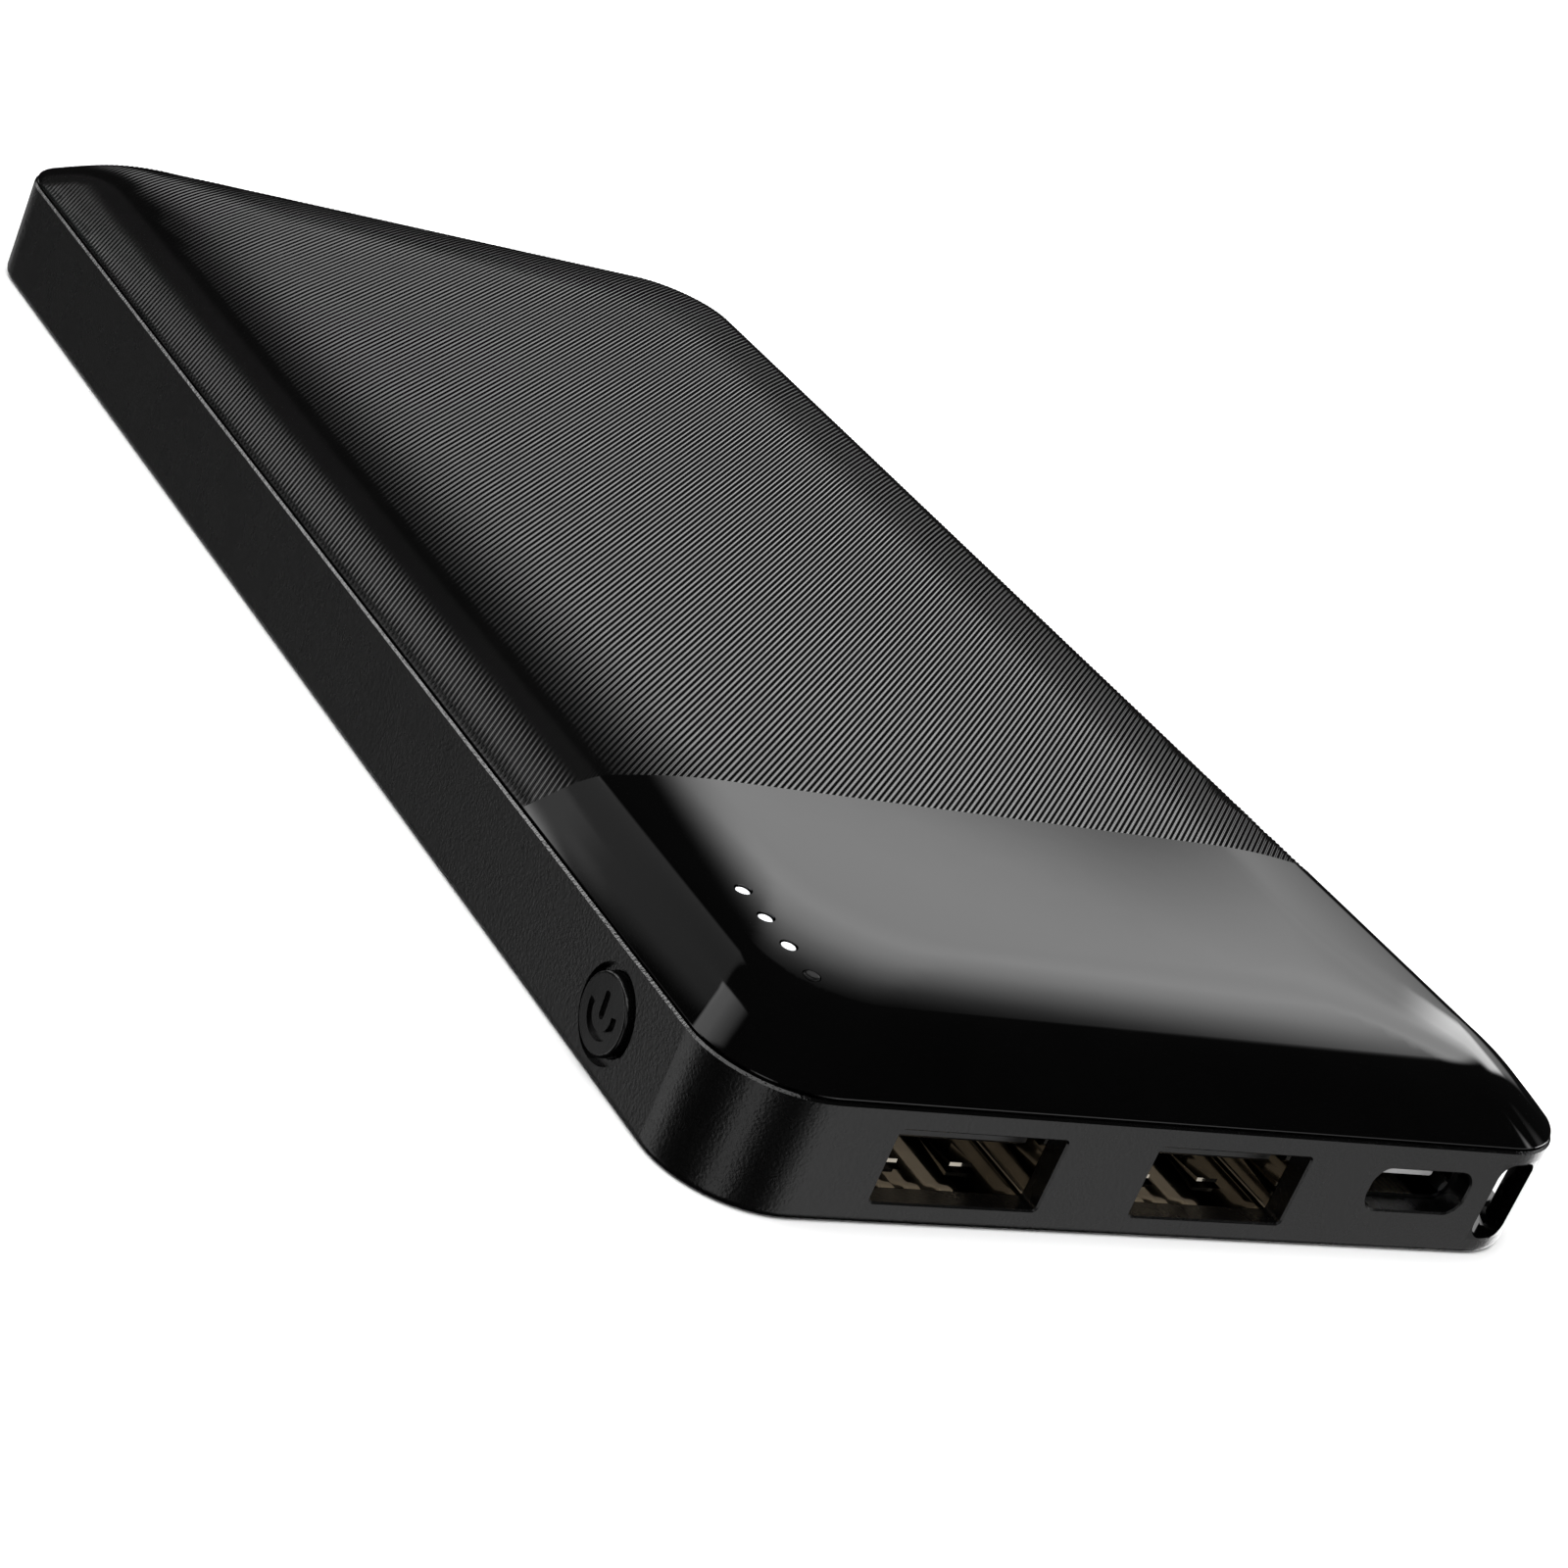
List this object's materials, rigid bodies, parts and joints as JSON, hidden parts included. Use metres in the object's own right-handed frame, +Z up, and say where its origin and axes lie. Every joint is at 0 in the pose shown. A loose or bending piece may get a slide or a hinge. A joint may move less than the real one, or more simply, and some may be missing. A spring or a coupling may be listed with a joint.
{
  "type": "power bank",
  "caption": "Slim rectangular black power bank with a ribbed pillow-shaped cover, side power button, USB ports on one end and a corner lanyard slot.",
  "frame": {"origin": "centre of the flat bottom face", "axes": "+Z up through the thickness, +Y along the length away from the ports, -Y is the port face, -X is the side with the power button"},
  "size_m": [0.0694, 0.1362, 0.0121],
  "materials": {
    "tray_plastic": "matte black moulded plastic with a fine spark texture",
    "cover_plastic": "black: fine diagonal ribs on the long field, piano gloss by the ports",
    "button_plastic": "matte black with a recessed power symbol",
    "switch_plastic": "moulded black",
    "port_steel": "bright nickel plated sheet steel",
    "port_insulator": "moulded dark grey",
    "gold_contact": "gold flash",
    "zinc_steel": "zinc plated",
    "board_laminate": "green solder mask",
    "ferrite": "sintered grey",
    "ceramic": "fired ceramic",
    "chip_epoxy": "moulded epoxy",
    "led_package": "white package with phosphor",
    "clear_guide": "frosted clear",
    "cell_foil": "satin laminate foil",
    "nickel_strip": "satin",
    "red_wire": "silicone",
    "black_wire": "silicone",
    "amber_tape": "polyimide film",
    "white_foam": "double sided foam",
    "grey_foam": "closed cell foam"
  },
  "bodies": {
    "case": {"bottom_tray": "tray_plastic", "top_cover": "cover_plastic", "switch_body": "switch_plastic", "circuit_board": "board_laminate", "board_screws": "zinc_steel", "power_inductor": "ferrite", "ceramic_capacitors": "ceramic", "charge_controller_chip": "chip_epoxy", "protection_chip": "chip_epoxy", "light_baffle": "switch_plastic", "battery_cell": "cell_foil", "positive_tab": "nickel_strip", "negative_tab": "nickel_strip", "positive_lead": "red_wire", "negative_lead": "black_wire", "terminal_tape": "amber_tape", "cell_adhesive_strips": "white_foam", "cell_foam_pad": "grey_foam", "usb_c_shell": "port_steel", "usb_c_insulator": "port_insulator", "usb_c_contacts": "gold_contact", "usb_a_shell_1": "port_steel", "usb_a_insulator_1": "port_insulator", "usb_a_contacts_1": "gold_contact", "usb_a_shell_2": "port_steel", "usb_a_insulator_2": "port_insulator", "usb_a_contacts_2": "gold_contact", "charge_led_1": "led_package", "light_pin_1": "clear_guide", "charge_led_2": "led_package", "light_pin_2": "clear_guide", "charge_led_3": "led_package", "light_pin_3": "clear_guide", "charge_led_4": "led_package", "light_pin_4": "clear_guide"},
    "button": {"power_button": "button_plastic"},
    "plunger": {"switch_plunger": "switch_plastic"}
  },
  "joints": [
    {"name": "power_button_press", "type": "slide", "parent": "case", "child": "button", "axis": [1, 0, 0], "range_m": [0, 0.0003], "stiffness_N_per_m": 3000, "springref_m": -0.0002},
    {"name": "switch_plunger_press", "type": "slide", "parent": "case", "child": "plunger", "axis": [1, 0, 0], "range_m": [0, 0.0003]}
  ],
  "couplings": [
    {"joint": "switch_plunger_press", "follows": "power_button_press", "ratio": 1}
  ]
}
